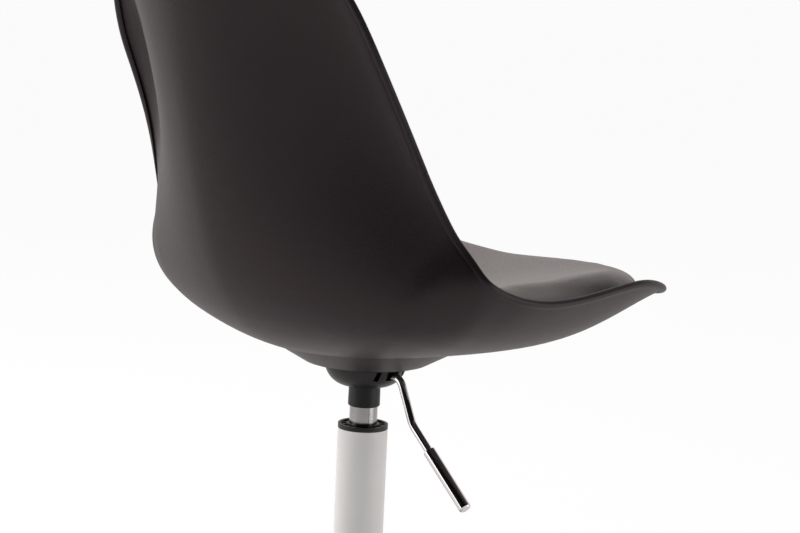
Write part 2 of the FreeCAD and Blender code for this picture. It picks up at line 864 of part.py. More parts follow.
def build_seat_pad():
    """Foam pad with a crowned top and drawn-in sides, on a curved carrier board."""
    board_base = size.shell_wall + size.board_clearance
    board_edge = pad_outline(size.pad_side_gap + size.board_inset)
    board_rise = [(CORE_SHARE, size.board_thickness)]
    board_rise += [(share, size.board_thickness) for share in FACE_SHARES + (1.0,)]
    keep(shaped("pad_board", cushion(board_edge, board_base, board_rise)), "pad_board")
    pad_base = board_base + size.board_thickness + size.seat_clearance
    pad_edge = pad_outline(size.pad_side_gap)
    pad_rise = [(share, pad_height(share)) for share in (CORE_SHARE,) + FACE_SHARES + EDGE_SHARES]
    pad_rise.append((1 - size.pad_draw_in / section.value(CENTRE).x, size.pad_edge * FOOT_HEIGHT))
    keep(shaped("seat_pad", cushion(pad_edge, pad_base, pad_rise)), "seat_pad")


# Mounting plate let into the shell, its countersunk bolts, their washers and inserts

def build_mounting():
    plate = cylinder("plate_blank", cell("plate_radius"), cell("plate_thickness"), "0", "0",
                     cell("plate_bottom"))
    holes, inserts, bolts, washers = [], [], [], []
    for number, spot in bolt_places():
        holes.append(cylinder(f"plate_hole_{number}", cell("bolt_hole_radius"), cell("plate_thickness"),
                              *spot, cell("plate_bottom")))
        holes.append(cone(f"plate_sink_{number}", cell("bolt_head_radius"), cell("bolt_radius"),
                          cell("bolt_head_height"), *spot, cell("plate_bottom")))
        disc = cylinder(f"washer_disc_{number}", cell("washer_radius"), cell("washer_thickness"), *spot,
                        cell("plate_top"))
        hole = cylinder(f"washer_hole_{number}", cell("bolt_hole_radius"), cell("washer_thickness"), *spot,
                        cell("plate_top"))
        washers.append(cut(f"washer_{number}", disc, [hole]))
        sleeve = cylinder(f"insert_sleeve_{number}", cell("insert_radius"), cell("insert_length"), *spot,
                          cell("washer_top"))
        thread = cylinder(f"insert_bore_{number}", cell("bolt_radius"), cell("insert_length"), *spot,
                          cell("washer_top"))
        inserts.append(cut(f"insert_{number}", sleeve, [thread]))
        bolts.append(countersunk_bolt(number, spot))
    keep(cut("mounting_plate", plate, holes), "mounting_plate")
    grouped("shell_inserts", inserts)
    grouped("plate_bolts", bolts)
    grouped("bolt_washers", washers)


def countersunk_bolt(number, spot):
    """A bolt with a conical head, flush with the plate's underside, and a six-sided socket."""
    shank = cylinder(f"bolt_shank_{number}", cell("bolt_radius"), "place.bolt_tip - place.plate_bottom",
                     *spot, cell("plate_bottom"))
    head = cone(f"bolt_head_{number}", cell("bolt_head_radius"), cell("bolt_radius"),
                cell("bolt_head_height"), *spot, cell("plate_bottom"))
    blank = doc.addObject("Part::Fuse", f"bolt_blank_{number}")
    blank.Base, blank.Tool = shank, head
    socket = doc.addObject("Part::Prism", f"bolt_socket_{number}")
    socket.Polygon = 6
    for target, expression in (("Circumradius", "size.bolt_socket / 2"),
                               ("Height", cell("bolt_socket_depth")), ("Placement.Base.x", spot[0]),
                               ("Placement.Base.y", spot[1]), ("Placement.Base.z", cell("plate_bottom"))):
        socket.setExpression(target, expression)
    return cut(f"bolt_{number}", blank, [socket])


def build_socket():
    """Conical socket welded under the plate, with a window for the lever, and the lever's two lugs."""
    body = new_body("socket_turning")
    turn = revolve(body, [
        ("cylinder_radius", "socket_bottom"),
        ("socket_radius", "socket_bottom"),
        ("socket_top_radius", "plate_bottom"),
        ("neck_radius", "plate_bottom"),
        ("neck_radius", "cylinder_top"),
    ], "socket_turn")
    doc.recompute()
    round_edges(body, turn, "min(size.socket_round; 0.9 * (place.socket_radius - place.cylinder_radius))",
                ring_edge(place.socket_radius, place.socket_bottom), "socket_edge")
    window_bottom = "place.lever_level - place.lever_radius - size.window_margin"
    window = box("socket_window", cell("socket_radius"), cell("window_width"),
                 f"place.plate_bottom - ({window_bottom})", "-place.socket_radius",
                 "-size.window_width / 2", window_bottom)
    keep(cut("taper_socket", body, [window]), "taper_socket")
    lugs = []
    for number, start in enumerate(("place.lug_half_gap", "-place.pin_half"), start=1):
        lug = box(f"lug_blank_{number}", cell("lug_length"), cell("lug_thickness"),
                  "place.plate_bottom - place.lug_bottom", "-size.pivot_out - size.lug_length / 2", start,
                  cell("lug_bottom"))
        lugs.append(cut(f"lug_{number}", lug, [cross_pin(f"lug_hole_{number}", cell("pin_radius"))]))
    grouped("pivot_lugs", lugs)
    keep(cross_pin("lever_pin", cell("pin_radius")), "lever_pin")


def cross_pin(label, radius):
    """A cylinder on the lever's pivot axis, as long as the two lugs."""
    item = doc.addObject("Part::Cylinder", label)
    item.Placement = FreeCAD.Placement(V(), FreeCAD.Rotation(V(1, 0, 0), -90))
    item.setExpression("Radius", radius)
    item.setExpression("Height", "2 * place.pin_half")
    item.setExpression("Placement.Base.x", "-size.pivot_out")
    item.setExpression("Placement.Base.y", "-place.pin_half")
    item.setExpression("Placement.Base.z", cell("lever_level"))
    return item


def build_cover():
    """Bowl-shaped cover with a slot for the lever between two slanted vents, and two screw bosses."""
    body = new_body("cover_turning")
    turn = revolve(body, [
        ("cover_hole_radius", "cover_bottom"),
        ("cover_radius", "cover_bottom"),
        ("cover_radius", "plate_bottom"),
        ("cover_inner_radius", "plate_bottom"),
        ("cover_inner_radius", "cover_floor"),
        ("cover_hole_radius", "cover_floor"),
    ], "cover_turn")
    doc.recompute()
    inside = round_edges(body, turn, "size.cover_round - size.cover_wall",
                         ring_edge(place.cover_inner_radius, place.cover_floor), "cover_inside")
    doc.recompute()
    round_edges(body, inside, cell("cover_round"), ring_edge(place.cover_radius, place.cover_bottom),
                "cover_outside")
    slots = []
    for number, width in ((-1, size.vent_width), (0, size.slot_width), (1, size.vent_width)):
        corner = V(0, -width / 2, size.seat_plane_height - size.slot_depth)
        slot = Part.makeBox(place.cover_radius, width, 2 * size.slot_depth, corner)
        slot.rotate(V(0, 0, place.lever_level), V(1, 0, 0), number * size.vent_slant)
        slot.rotate(V(), Z_AXIS, number * size.slot_angle + 180)
        slots.append(shaped(f"cover_slot_{number + 2}", slot))
    core = cylinder("cover_slot_core", "size.slot_inner_diameter / 2", cell("slot_depth"), "0", "0",
                    "size.seat_plane_height - size.slot_depth")
    slot_group = doc.addObject("Part::MultiFuse", "cover_slots")
    slot_group.Shapes = slots
    openings = cut("cover_openings", slot_group, [core])
    bowl = cut("cover_bowl", body, [openings])
    bosses, screws, holes = [], [], []
    spots = (("size.cover_boss_offset", "0"), ("0", "-size.cover_boss_offset"))
    for number, spot in enumerate(spots, start=1):
        bosses.append(cylinder(f"cover_boss_{number}", "size.cover_boss_diameter / 2",
                               "place.plate_bottom - place.cover_boss_bottom", *spot,
                               cell("cover_boss_bottom")))
        holes.append(cylinder(f"screw_hole_{number}", "size.cover_screw_diameter / 2", cell("cover_depth"),
                              *spot, cell("cover_bottom")))
        holes.append(cylinder(f"screw_access_{number}", "size.cover_screw_head / 2 + size.bolt_clearance",
                              "place.screw_seat - place.cover_bottom", *spot, cell("cover_bottom")))
        shank = cylinder(f"screw_shank_{number}", "size.cover_screw_diameter / 2",
                         "place.plate_bottom - place.screw_seat", *spot, cell("screw_seat"))
        head = cylinder(f"screw_head_{number}", "size.cover_screw_head / 2", "size.cover_wall", *spot,
                        "place.screw_seat - size.cover_wall")
        screw = doc.addObject("Part::Fuse", f"cover_screw_{number}")
        screw.Base, screw.Tool = shank, head
        screws.append(screw)
    solid = doc.addObject("Part::MultiFuse", "cover_with_bosses")
    solid.Shapes = [bowl] + bosses
    keep(cut("plate_cover", solid, holes), "plate_cover")
    grouped("cover_screws", screws)


# Release lever

def bent_wire(corners, radii):
    """Straight runs joined by tangent arcs at the inner corners."""
    edges = []
    start = corners[0]
    for before, corner, after, radius in zip(corners, corners[1:], corners[2:], radii):
        back = (before - corner).normalize()
        ahead = (after - corner).normalize()
        half_turn = (math.pi - back.getAngle(ahead)) / 2
        reach = radius * math.tan(half_turn)
        enter, leave = corner + back * reach, corner + ahead * reach
        bisector = (back + ahead).normalize()
        centre = corner + bisector * (radius / math.cos(half_turn))
        middle = centre - bisector * radius
        edges += [Part.LineSegment(start, enter).toShape(), Part.Arc(enter, middle, leave).toShape()]
        start = leave
    edges.append(Part.LineSegment(start, corners[-1]).toShape())
    return Part.Wire(edges)


def build_lever():
    """Bent rod on a cross hub, with a thicker handle at its end."""
    level, top = place.lever_level, size.seat_plane_height
    inner_end = V(size.lever_overrun, 0, level)
    knee = V(-size.lever_knee_out, 0, level)
    elbow = V(-size.lever_elbow_out, 0, top - size.lever_elbow_drop)
    tip = V(-size.lever_tip_out, 0, top - size.lever_tip_drop)
    heading = (tip - elbow).normalize()
    handle_start = tip - heading * size.handle_length
    rod_end = handle_start + heading * size.handle_bore
    path = bent_wire([inner_end, knee, elbow, rod_end], [size.lever_knee_radius, size.lever_elbow_radius])
    profile = Part.Wire([Part.Circle(inner_end, V(1, 0, 0), place.lever_radius).toShape()])
    rod = path.makePipeShell([profile], True, False)
    width = size.lug_gap - 2 * size.seat_clearance
    pivot = V(-size.pivot_out, -width / 2, level)
    hub = Part.makeCylinder(size.pivot_hub_diameter / 2, width, pivot, V(0, 1, 0))
    bore = Part.makeCylinder(place.pin_radius + size.running_clearance, width, pivot, V(0, 1, 0))
    keep(shaped("lever_rod", rod.fuse(hub).cut(bore).removeSplitter()), "lever_rod")
    handle = turned("lever_handle", [
        (AXIS, "handle_bore"),
        (AXIS, "handle_length"),
        ("handle_edge", "handle_length"),
        ("handle_radius", "handle_shoulder"),
        ("handle_radius", "handle_chamfer"),
        ("handle_edge", AXIS),
        ("lever_radius", AXIS),
        ("lever_radius", "handle_bore"),
    ])
    handle.Placement = FreeCAD.Placement(handle_start, FreeCAD.Rotation(Z_AXIS, heading))


# Gas spring

def build_gas_spring():
    turned("gas_cylinder", [
        ("rod_hole", "cylinder_bottom"),
        ("cylinder_radius", "cylinder_bottom"),
        ("cylinder_radius", "socket_bottom"),
        ("neck_radius", "cylinder_top"),
        ("valve_hole", "cylinder_top"),
        ("valve_hole", "cap_bottom"),
        ("cylinder_bore", "cap_bottom"),
        ("cylinder_bore", "cylinder_lip_top"),
        ("rod_hole", "cylinder_lip_top"),
    ])
    turned("valve_body", [
        (AXIS, "valve_body_bottom"),
        ("cylinder_bore", "valve_body_bottom"),
        ("cylinder_bore", "cap_bottom"),
        ("valve_hole", "cap_bottom"),
        ("valve_hole", "valve_floor"),
        (AXIS, "valve_floor"),
    ])
    turned("valve_pin", [
        (AXIS, "valve_pin_bottom"),
        ("valve_pin_radius", "valve_pin_bottom"),
        ("valve_pin_radius", "valve_pin_top"),
        (AXIS, "valve_pin_top"),
    ])
    turned("rod_guide", [
        ("rod_hole", "cylinder_lip_top"),
        ("cylinder_bore", "cylinder_lip_top"),
        ("cylinder_bore", "guide_top"),
        ("rod_hole", "guide_top"),
    ])
    turned("piston_rod", [
        (AXIS, "rod_bottom"),
        ("spigot_radius", "rod_bottom"),
        ("spigot_radius", "clip_bottom"),
        ("clip_bore", "clip_bottom"),
        ("clip_bore", "clip_washer_bottom"),
        ("spigot_radius", "clip_washer_bottom"),
        ("spigot_radius", "upper_race_top"),
        ("rod_radius", "upper_race_top"),
        ("rod_radius", "piston_top"),
        (AXIS, "piston_top"),
    ])
    turned("piston", [
        ("rod_radius", "piston_bottom"),
        ("piston_radius", "piston_bottom"),
        ("piston_radius", "seal_bottom"),
        ("seal_bore", "seal_bottom"),
        ("seal_bore", "seal_top"),
        ("piston_radius", "seal_top"),
        ("piston_radius", "piston_top"),
        ("rod_radius", "piston_top"),
    ])
    turned("piston_seal", [
        ("seal_bore", "seal_bottom"),
        ("seal_radius", "seal_bottom"),
        ("seal_radius", "seal_top"),
        ("seal_bore", "seal_top"),
    ])


# Column tube, guide bush and swivel bearing

def build_column():
    turned("column_tube", [
        ("tube_opening", "tube_bottom"),
        ("tube_foot_radius", "tube_bottom"),
        ("tube_radius", "hub_top"),
        ("tube_radius", "tube_top"),
        ("tube_bore", "tube_top"),
        ("tube_bore", "hub_top"),
        ("tube_foot_bore", "tube_floor_top"),
        ("tube_opening", "tube_floor_top"),
    ])
    bush = new_body("bush_turning")
    revolve(bush, [
        ("bush_bore", "bush_bottom"),
        ("tube_bore", "bush_bottom"),
        ("tube_bore", "tube_top"),
        ("tube_radius", "tube_top"),
        ("tube_radius", "bush_top"),
        ("bush_rim_radius", "bush_top"),
        ("bush_rim_radius", "bush_recess_floor"),
        ("bush_collar_radius", "bush_recess_floor"),
        ("bush_collar_radius", "bush_top"),
        ("bush_bore", "bush_top"),
    ], "bush_turn")
    rib = new_sketch(bush, "XY_Plane", "bush_rib_profile", cell("bush_recess_floor"))
    outline(rib, [
        ("bush_rib_start", "bush_rib_low"),
        ("bush_rim_radius", "bush_rib_low"),
        ("bush_rim_radius", "bush_rib_high"),
        ("bush_rib_start", "bush_rib_high"),
    ])
    rib_pad = pad(bush, rib, "size.bush_recess / 2", "bush_rib_pad")
    pattern = bush.newObject("PartDesign::PolarPattern", "bush_ribs")
    pattern.Originals = [rib_pad]
    pattern.Axis = (origin_feature(bush, "Z_Axis"), [""])
    pattern.Angle = 360
    pattern.setExpression("Occurrences", cell("bush_rib_count"))
    bush.Tip = pattern
    keep(bush, "guide_bush")
    turned("floor_plate", [
        ("spigot_hole", "tube_floor_top"),
        ("tube_foot_bore", "tube_floor_top"),
        ("tube_foot_bore", "floor_plate_top"),
        ("spigot_hole", "floor_plate_top"),
    ])
    turned("bearing_lower_race", [
        ("rod_hole", "floor_plate_top"),
        ("race_radius", "floor_plate_top"),
        ("race_radius", "lower_race_top"),
        ("rod_hole", "lower_race_top"),
    ])
    turned("bearing_upper_race", [
        ("spigot_radius", "upper_race_bottom"),
        ("race_radius", "upper_race_bottom"),
        ("race_radius", "upper_race_top"),
        ("spigot_radius", "upper_race_top"),
    ])
    build_balls()
    turned("bump_stop", [
        ("rod_radius", "upper_race_top"),
        ("bump_stop_radius", "upper_race_top"),
        ("bump_stop_radius", "bump_stop_top"),
        ("rod_radius", "bump_stop_top"),
    ])
    turned("clip_washer", [
        ("spigot_hole", "clip_washer_bottom"),
        ("clip_washer_radius", "clip_washer_bottom"),
        ("clip_washer_radius", "clip_washer_top"),
        ("spigot_hole", "clip_washer_top"),
    ])
    turned("retaining_clip", [
        ("clip_bore", "clip_bottom"),
        ("clip_radius", "clip_bottom"),
        ("clip_radius", "clip_washer_bottom"),
        ("clip_bore", "clip_washer_bottom"),
    ])


def build_balls():
    """Ring of balls between the races, spaced by a pierced cage."""
    balls, holes = [], []
    for number in range(int(size.ball_count)):
        turn = f"{number} * 360 deg / size.ball_count"
        spot = (f"size.ball_circle / 2 * cos({turn})", f"size.ball_circle / 2 * sin({turn})")
        ball = doc.addObject("Part::Sphere", f"ball_{number + 1}")
        ball.setExpression("Radius", cell("ball_radius"))
        ball.setExpression("Placement.Base.x", spot[0])
        ball.setExpression("Placement.Base.y", spot[1])
        ball.setExpression("Placement.Base.z", cell("ball_level"))
        balls.append(ball)
        holes.append(cylinder(f"cage_hole_{number + 1}", "place.ball_radius + size.running_clearance",
                              cell("cage_thickness"), *spot, cell("cage_bottom")))
    grouped("bearing_balls", balls)
    ring = new_body("cage_ring")
    revolve(ring, [
        ("rod_hole", "cage_bottom"),
        ("race_radius", "cage_bottom"),
        ("race_radius", "cage_top"),
        ("rod_hole", "cage_top"),
    ], "cage_turn")
    keep(cut("bearing_cage", ring, holes), "bearing_cage")


# Four-arm base

def arm_section(body, kind, spot, offset):
    """A section across an arm: wider at its foot, softened at its upper corners, the same on both sides."""
    sketch = new_sketch(body, "YZ_Plane", f"{kind}_{spot}_section", offset)
    foot, crown, flat = (f"{kind}_{spot}_{part}" for part in ("foot", "crown", "flat"))
    low, soft, high = (f"{kind}_{spot}_{part}" for part in ("bottom", "soft", "top"))
    right = [(foot, low), (crown, soft), (flat, high)]
    spots = [V(read(across), read(up), 0) for across, up in right]
    spots += [V(-spot.x, spot.y, 0) for spot in reversed(spots)]
    count = len(spots)
    for number in range(count):
        sketch.addGeometry(Part.LineSegment(spots[number], spots[(number + 1) % count]))
    for number in range(count):
        sketch.addConstraint(Sketcher.Constraint("Coincident", number, 2, (number + 1) % count, 1))
    for number, (across, up) in enumerate(right):
        bind(sketch, "DistanceX", number, 1, across)
        bind(sketch, "DistanceY", number, 1, up)
        mirror = count - 1 - number
        sketch.addConstraint(Sketcher.Constraint("Symmetric", number, 1, mirror, 1, -2))
    sketch.Visibility = False
    return sketch


def arm_loft(body, feature_type, kind):
    """A loft through an arm's three sections."""
    sections = [arm_section(body, kind, spot, cell(offset)) for spot, offset in
                (("root", "arm_root"), ("middle", "arm_middle"), ("tip", "glide_reach"))]
    feature = body.newObject(feature_type, kind + "_loft")
    feature.Profile = (sections[0], [""])
    feature.Sections = [(section_sketch, [""]) for section_sketch in sections[1:]]
    feature.Ruled = False
    return feature


def build_base():
    """Cast base: four hollow ribbed arms, a hub with a conical bore and a foot at each arm's end."""
    body = new_body("base_casting")
    arm = arm_loft(body, "PartDesign::AdditiveLoft", "arm")
    doc.recompute()
    hollow = arm_loft(body, "PartDesign::SubtractiveLoft", "hollow")
    doc.recompute()
    rib_sketch = new_sketch(body, "XZ_Plane", "arm_rib_profile")
    outline(rib_sketch, [
        ("arm_root", "rib_root_bottom"),
        ("arm_middle", "rib_middle_bottom"),
        ("glide_reach", "rib_tip_bottom"),
        ("glide_reach", "rib_tip_top"),
        ("arm_middle", "rib_middle_top"),
        ("arm_root", "rib_root_top"),
    ])
    rib = pad(body, rib_sketch, cell("arm_rib"), "arm_rib_pad", True)
    foot_sketch = new_sketch(body, "XY_Plane", "foot_profile", cell("glide_height"))
    circle(foot_sketch, "foot_radius", across="glide_reach")
    foot = pad(body, foot_sketch, "size.foot_top - size.glide_height", "foot_pad")
    doc.recompute()
    pattern = body.newObject("PartDesign::PolarPattern", "arms")
    pattern.Originals = [arm, hollow, rib, foot]
    pattern.Axis = (origin_feature(body, "Z_Axis"), [""])
    pattern.Angle = 360
    pattern.setExpression("Occurrences", cell("arm_count"))
    body.Tip = pattern
    doc.recompute()
    revolve(body, [
        (AXIS, "hub_bottom"),
        ("hub_radius", "hub_bottom"),
        ("hub_top_radius", "hub_top"),
        (AXIS, "hub_top"),
    ], "hub")
    doc.recompute()
    bore_sketch = new_sketch(body, "XZ_Plane", "hub_bore_profile")
    outline(bore_sketch, [
        (AXIS, "hub_bottom"),
        ("hub_opening", "hub_bottom"),
        ("hub_opening", "tube_bottom"),
        ("tube_foot_radius", "tube_bottom"),
        ("tube_radius", "hub_top"),
        (AXIS, "hub_top"),
    ])
    bore = body.newObject("PartDesign::Groove", "hub_bore")
    bore.Profile = (bore_sketch, [""])
    bore.ReferenceAxis = (bore_sketch, ["V_Axis"])
    bore.Angle = 360
    round_edges(body, bore, cell("foot_round"),
                ring_edge(place.foot_radius, size.foot_top), "foot_edges")
    doc.recompute()
    holes, studs = [], []
    for number in range(int(size.arm_count)):
        turn = f"{number} * 360 deg / size.arm_count"
        spot = (f"size.glide_reach * cos({turn})", f"size.glide_reach * sin({turn})")
        holes.append(cylinder(f"stud_hole_{number + 1}", cell("stud_radius"),
                              "place.stud_top - size.glide_height", *spot, cell("glide_height")))
        studs.append(cylinder(f"stud_{number + 1}", cell("stud_radius"), cell("stud_length"), *spot,
                              cell("stud_seat")))
        glide = turned(f"floor_glide_{number + 1}", [
            (AXIS, AXIS),
            ("glide_face_radius", AXIS),
            ("glide_radius", "glide_chamfer"),
            ("glide_radius", "glide_shoulder"),
            ("glide_face_radius", "glide_height"),
            ("stud_radius", "glide_height"),
            ("stud_radius", "stud_seat"),
            (AXIS, "stud_seat"),
        ])
        glide.setExpression("Placement.Base.x", spot[0])
        glide.setExpression("Placement.Base.y", spot[1])
    keep(cut("star_base", body, holes), "star_base")
    grouped("glide_studs", studs)


build_seat_shell()
build_seat_pad()
build_mounting()
build_socket()
build_cover()
build_lever()
build_gas_spring()
build_column()
build_base()
doc.recompute()

faults = [item.Label for item in doc.Objects if {"Invalid", "Error"} & set(item.State)]
faults += [item.Label for item in nodes if item.Shape.isNull() or not item.Shape.isValid()]
if faults:
    raise RuntimeError("not built: " + ", ".join(faults))
os.makedirs("parts", exist_ok=True)
for item in nodes:
    item.Shape.exportStep(f"parts/{item.Label}.step")
print(len(nodes), "sub-parts written")
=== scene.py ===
"""Swivel dining chair: finishes, seat pad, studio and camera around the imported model.

Metres, +Z up. The sitter faces -Y, the lever is on the -X side and the floor is at z = 0.
"""
import json
import math

import bmesh
import bpy
from mathutils import Matrix, Vector

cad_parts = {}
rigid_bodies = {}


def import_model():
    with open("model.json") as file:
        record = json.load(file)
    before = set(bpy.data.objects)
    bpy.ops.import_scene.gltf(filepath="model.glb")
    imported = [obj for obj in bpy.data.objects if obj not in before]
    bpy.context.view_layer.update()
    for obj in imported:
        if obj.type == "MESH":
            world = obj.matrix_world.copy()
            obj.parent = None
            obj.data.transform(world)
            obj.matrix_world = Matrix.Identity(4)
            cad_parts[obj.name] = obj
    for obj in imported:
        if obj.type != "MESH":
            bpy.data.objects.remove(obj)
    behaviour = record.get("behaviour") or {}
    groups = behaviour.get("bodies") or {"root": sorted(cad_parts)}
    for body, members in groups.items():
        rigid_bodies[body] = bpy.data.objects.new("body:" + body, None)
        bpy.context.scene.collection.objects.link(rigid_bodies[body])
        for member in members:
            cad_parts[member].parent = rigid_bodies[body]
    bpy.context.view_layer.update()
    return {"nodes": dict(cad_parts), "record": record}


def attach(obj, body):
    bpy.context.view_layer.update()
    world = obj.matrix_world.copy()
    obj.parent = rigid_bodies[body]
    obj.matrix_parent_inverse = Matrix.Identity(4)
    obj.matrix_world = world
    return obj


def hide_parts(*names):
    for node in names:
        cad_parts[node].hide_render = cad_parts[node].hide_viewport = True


UP = Vector((0, 0, 1))


# Camera: the aim point is on the column's axis, and the shifts frame the picture as the photograph is framed

AIM_HEIGHT = 0.38
VIEW_ELEVATION = math.radians(8.7)
VIEW_ROLL = math.radians(2.7)
VIEW_DISTANCE = 2.2
VIEW_SHIFT_RIGHT = 0.0295
VIEW_SHIFT_UP = 0.0849
SENSOR_WIDTH_MM = 36
PHOTO_WIDTH = 800
PIXELS_PER_METRE = 1007

# The level direction that the camera looks in, and what lies to its right
LOOK_LEVEL = Vector((1, -1, 0)).normalized()
LOOK_RIGHT = Vector((-1, -1, 0)).normalized()


def make_camera():
    """The photograph's viewpoint: low, from behind the sitter's right shoulder, slightly rolled."""
    look = LOOK_LEVEL * math.cos(VIEW_ELEVATION) - UP * math.sin(VIEW_ELEVATION)
    lift = LOOK_LEVEL * math.sin(VIEW_ELEVATION) + UP * math.cos(VIEW_ELEVATION)
    right = LOOK_RIGHT * math.cos(VIEW_ROLL) + lift * math.sin(VIEW_ROLL)
    above = lift * math.cos(VIEW_ROLL) - LOOK_RIGHT * math.sin(VIEW_ROLL)
    place = UP * AIM_HEIGHT + LOOK_RIGHT * VIEW_SHIFT_RIGHT + lift * VIEW_SHIFT_UP - look * VIEW_DISTANCE
    data = bpy.data.cameras.new("photo_camera")
    data.sensor_width = SENSOR_WIDTH_MM
    data.lens = PIXELS_PER_METRE * VIEW_DISTANCE * SENSOR_WIDTH_MM / PHOTO_WIDTH
    camera = bpy.data.objects.new("photo_camera", data)
    bpy.context.scene.collection.objects.link(camera)
    turn = Matrix((right, above, -look)).transposed().to_4x4()
    camera.matrix_world = Matrix.Translation(place) @ turn
    bpy.context.scene.camera = camera


# Lamps

LAMP_TARGET_HEIGHT = 0.42


def softbox(name, towards, distance, height, width, power):
    """A square soft lamp that faces the seat."""
    data = bpy.data.lights.new(name, "AREA")
    data.shape = "SQUARE"
    data.size = width
    data.energy = power
    lamp = bpy.data.objects.new(name, data)
    bpy.context.scene.collection.objects.link(lamp)
    place = towards.normalized() * distance + UP * height
    facing = UP * LAMP_TARGET_HEIGHT - place
    lamp.location = place
    lamp.rotation_mode = "QUATERNION"
    lamp.rotation_quaternion = facing.to_track_quat("-Z", "Y")


def make_lamps():
    """Main light from behind on the left, with softer light from the left, from above and from the right."""
    key_side = -LOOK_RIGHT - LOOK_LEVEL * 0.1
    fill_side = LOOK_RIGHT - LOOK_LEVEL * 0.35
    softbox("key_softbox", key_side, distance=1.9, height=0.8, width=1.4, power=13)
    softbox("back_softbox", LOOK_LEVEL - LOOK_RIGHT, distance=1.5, height=2.1, width=1.6, power=34)
    softbox("top_softbox", -LOOK_LEVEL, distance=0.15, height=2.4, width=1.8, power=8)
    softbox("fill_softbox", fill_side, distance=1.6, height=0.2, width=1.0, power=7)


# Shader graphs

# Places of the colour sockets on a Mix node
MIX_COLOUR_A = 6
MIX_COLOUR_B = 7
MIX_COLOUR_RESULT = 2


class Value:
    """A shader socket that takes part in Python expressions."""

    def __init__(self, graph, socket):
        self.graph = graph
        self.socket = socket

    def maths(self, operation, first, second):
        """A Math node on two values or numbers."""
        return self.graph.node("Math", {"operation": operation}, {0: first, 1: second})

    def __add__(self, other):
        return self.maths("ADD", self, other)

    def __sub__(self, other):
        return self.maths("SUBTRACT", self, other)

    def __mul__(self, other):
        return self.maths("MULTIPLY", self, other)

    def __rsub__(self, other):
        return self.maths("SUBTRACT", other, self)

    __radd__ = __add__
    __rmul__ = __mul__

    def or_else(self, other):
        """The larger of two values."""
        return self.maths("MAXIMUM", self, other)


class Graph:
    """A shader tree: makes nodes and sets or links their inputs."""

    def __init__(self, owner):
        owner.use_nodes = True
        self.tree = owner.node_tree

    def feed(self, node, sockets):
        """Set or link a node's inputs."""
        for key, value in sockets.items():
            if isinstance(value, Value):
                self.tree.links.new(value.socket, node.inputs[key])
            else:
                node.inputs[key].default_value = value

    def node(self, kind, settings, sockets, output=0):
        """A new node with its settings and inputs; gives one of its outputs."""
        made = self.tree.nodes.new("ShaderNode" + kind)
        for key, value in settings.items():
            setattr(made, key, value)
        self.feed(made, sockets)
        return Value(self, made.outputs[output])

    def ranged(self, value, low, high, start=0.0, end=1.0, interpolation="LINEAR"):
        """A value mapped from low..high to start..end."""
        return self.node("MapRange", {"interpolation_type": interpolation},
                         {"Value": value, "From Min": low, "From Max": high, "To Min": start, "To Max": end})

    def along(self, place, direction):
        """How far a place lies along a direction."""
        return self.node("VectorMath", {"operation": "DOT_PRODUCT"}, {0: place, 1: direction}, "Value")

    def mixed(self, share, first, second):
        """A colour between two others."""
        colours = {MIX_COLOUR_A: (*first, 1), MIX_COLOUR_B: (*second, 1)}
        return self.node("Mix", {"data_type": "RGBA"}, {"Factor": share, **colours}, MIX_COLOUR_RESULT)

    def ray(self, kind):
        """1 for one kind of light ray, 0 for the others."""
        return self.node("LightPath", {}, {}, f"Is {kind} Ray")


class Paint(Graph):
    """A procedural finish on a surface shader."""

    def __init__(self, name, **plain):
        self.material = bpy.data.materials.new(name)
        super().__init__(self.material)
        self.surface = self.tree.nodes["Principled BSDF"]
        self.finish(**plain)
        self.place = self.node("TexCoord", {}, {}, "Object")

    def noise(self, scale, detail=2.0, roughness=0.5, place=None):
        """Soft noise, with its scale in waves per metre."""
        return self.node("TexNoise", {}, {"Vector": place or self.place, "Scale": scale, "Detail": detail,
                                          "Roughness": roughness}, "Fac")

    def cells(self, scale):
        """Distance from the middle of the nearest cell, with the scale in cells per metre."""
        return self.node("TexVoronoi", {}, {"Vector": self.place, "Scale": scale}, "Distance")

    def stretched(self, x, y, z):
        """Object coordinates with each axis scaled."""
        return self.node("Mapping", {}, {"Vector": self.place, "Scale": (x, y, z)})

    def relief(self, height, strength, distance):
        """Bump on the surface."""
        inputs = {"Height": height, "Strength": strength, "Distance": distance}
        self.feed(self.surface, {"Normal": self.node("Bump", {}, inputs)})

    def finish(self, **sockets):
        """Set or link the surface shader's inputs; gives the material."""
        self.feed(self.surface, {key.replace("_", " "): value for key, value in sockets.items()})
        return self.material


# Studio light and floor

WHITE = (1, 1, 1)
WARM_WHITE = (1, 0.94, 0.92)

# The surround's strength on the camera's side and behind the chair, and the spans over which it changes,
# as parts of a unit direction
DARK_SIDE = 0.14
BRIGHT_SIDE = 0.85
LIT_SPAN = (-0.8, 0.7)
MIRRORED_DARK = 0.01
MIRRORED_SPAN = (-0.2, 0.6)
MIRRORED_CEILING = 0.2
CEILING_SPAN = (0.3, 0.8)

# The floor's brightness in mirrored light, with painted shade on the camera's side and a painted shadow
# under the chair, and the spans in metres over which it changes
FLOOR_RADIUS = 45
FLOOR_SEGMENTS = 96
FLOOR_COLOUR = (0.88, 0.875, 0.87, 1)
FLOOR_ROUGHNESS = 0.9
FLOOR_GLOW = 0.93
FLOOR_NEAR = 0.02
FLOOR_FAR = 0.92
# Painted shade on the near side and painted shadow under the chair, in the floor's glow seen in reflections
FLOOR_PAINTED_SHADE_SPAN = (-2.4, -0.3)
FLOOR_PAINTED_SHADOW = 0.15
FLOOR_PAINTED_SHADOW_SPAN = (0.2, 0.55)


